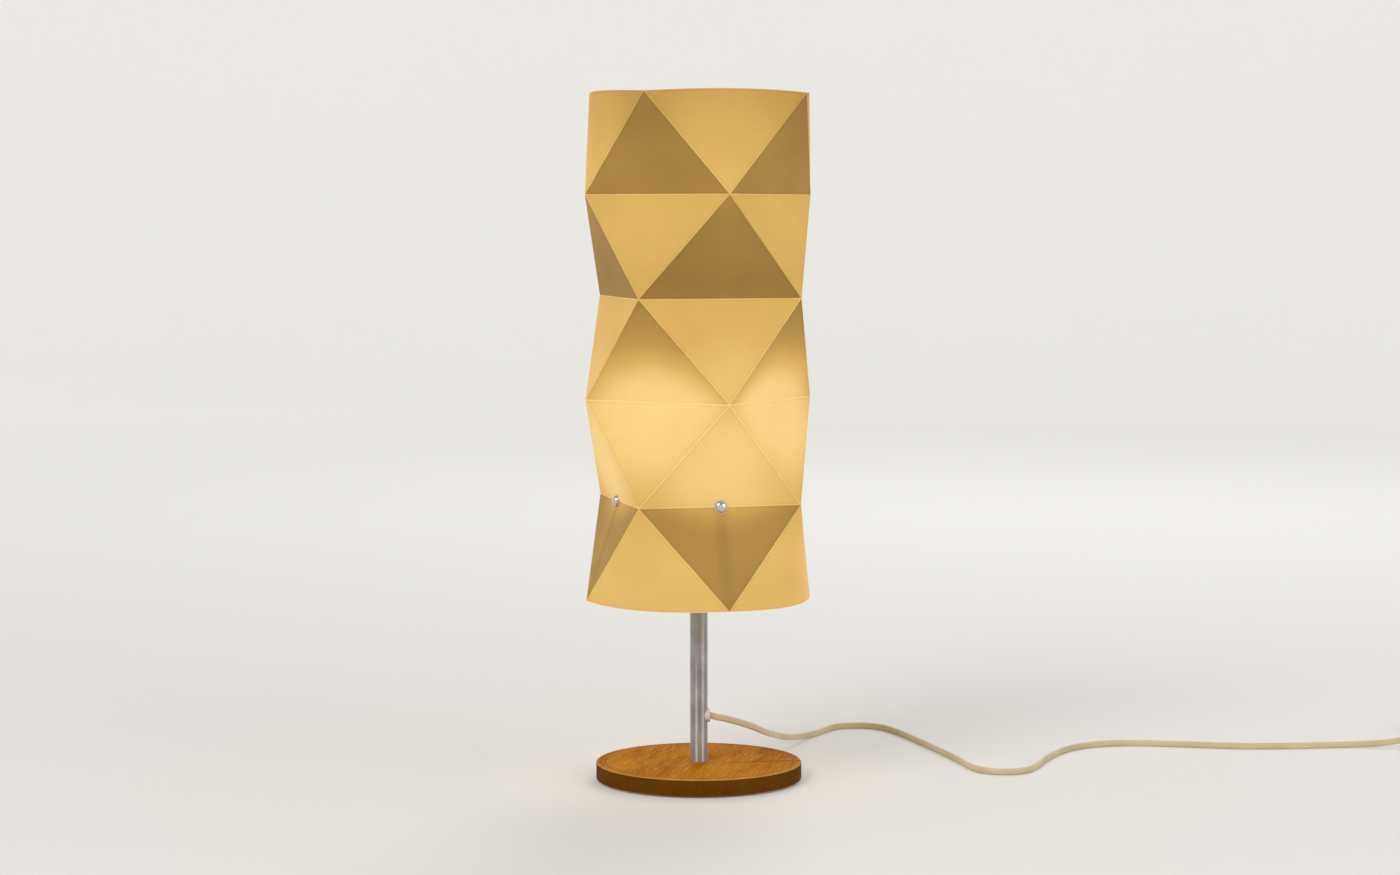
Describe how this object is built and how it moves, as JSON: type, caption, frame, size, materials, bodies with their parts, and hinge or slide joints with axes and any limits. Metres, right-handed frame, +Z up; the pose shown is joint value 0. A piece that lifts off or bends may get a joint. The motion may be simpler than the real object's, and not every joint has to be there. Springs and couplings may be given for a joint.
{
  "type": "table lamp",
  "caption": "Table lamp with a round wooden base, a slim chromed stem and a tall shade folded from one creased translucent sheet.",
  "frame": {"origin": "centre of the round base's underside, on the surface that the lamp stands on", "axes": "+Z up along the stem, -Y the front, +X the side where the flex leaves the stem"},
  "size_m": [0.7851, 0.2973, 0.4996],
  "materials": {
    "felt": "black felt",
    "wood": "oiled beech or oak, turned",
    "steel": "zinc plated",
    "chrome": "polished chrome plate",
    "brass": "bare",
    "aluminium": "satin",
    "nickel": "nickel plate",
    "white_plastic": "satin moulded, ivory white",
    "black_plastic": "moulded, fine texture",
    "porcelain": "glazed",
    "porcelain_black": "black vitrite",
    "shade": "translucent coated sheet, creased",
    "clear_tape": "clear adhesive tape",
    "bulb_glass": "opal",
    "clear_glass": "clear",
    "filament": "phosphor coated",
    "flex": "soft ivory PVC, two cores side by side",
    "tie": "woven hook-and-loop strap"
  },
  "bodies": {
    "lamp": {"base_pad": "felt", "base_disc": "wood", "base_weight": "steel", "base_washer": "steel", "base_bolt": "steel", "stem_tube": "chrome", "stem_plug": "steel", "stem_bush": "brass", "cord_grommet": "white_plastic", "holder_nipple": "steel", "nipple_nut": "steel", "holder_cap": "black_plastic", "holder_core": "porcelain", "holder_terminals": "brass", "holder_contact": "brass", "holder_screw_shell": "brass", "holder_shell": "black_plastic", "ring_lower": "black_plastic", "ring_upper": "black_plastic", "shade_sheet": "shade", "shade_seam_tape": "clear_tape", "shade_spider": "steel", "shade_spacers": "white_plastic", "shade_screws": "chrome", "cord_lamp_side": "flex", "cord_plug_side": "flex", "cord_plug_end": "flex", "cord_coil": "flex", "cord_tie": "tie", "lead_wires": "flex", "switch_lower_shell": "white_plastic", "switch_upper_shell": "white_plastic", "switch_pin": "steel", "switch_terminals": "brass", "switch_screws": "steel", "plug_body": "white_plastic", "plug_relief": "white_plastic", "plug_pins": "nickel"},
    "rocker": {"switch_rocker": "white_plastic"},
    "bulb_contact": {"bulb_tip": "brass", "bulb_insulator": "porcelain_black"},
    "bulb": {"bulb_cap": "aluminium", "bulb_glass": "bulb_glass", "bulb_mount": "clear_glass", "bulb_filaments": "filament"}
  },
  "joints": [
    {"name": "rocker_tilt", "type": "hinge", "parent": "lamp", "child": "rocker", "pos_m": [0.592, 0.125, 0.0125], "axis": [0, -1, 0], "range_deg": [0, 14]},
    {"name": "bulb_lift", "type": "slide", "parent": "lamp", "child": "bulb_contact", "axis": [0, 0, 1], "range_m": [0, 0.01815]},
    {"name": "bulb_turn", "type": "hinge", "parent": "bulb_contact", "child": "bulb", "pos_m": [0, 0, 0.2], "axis": [0, 0, 1], "range_deg": [0, 1800]}
  ],
  "couplings": [
    {"joint": "bulb_lift", "follows": "bulb_turn", "m_per_rad": 0.00057757}
  ]
}
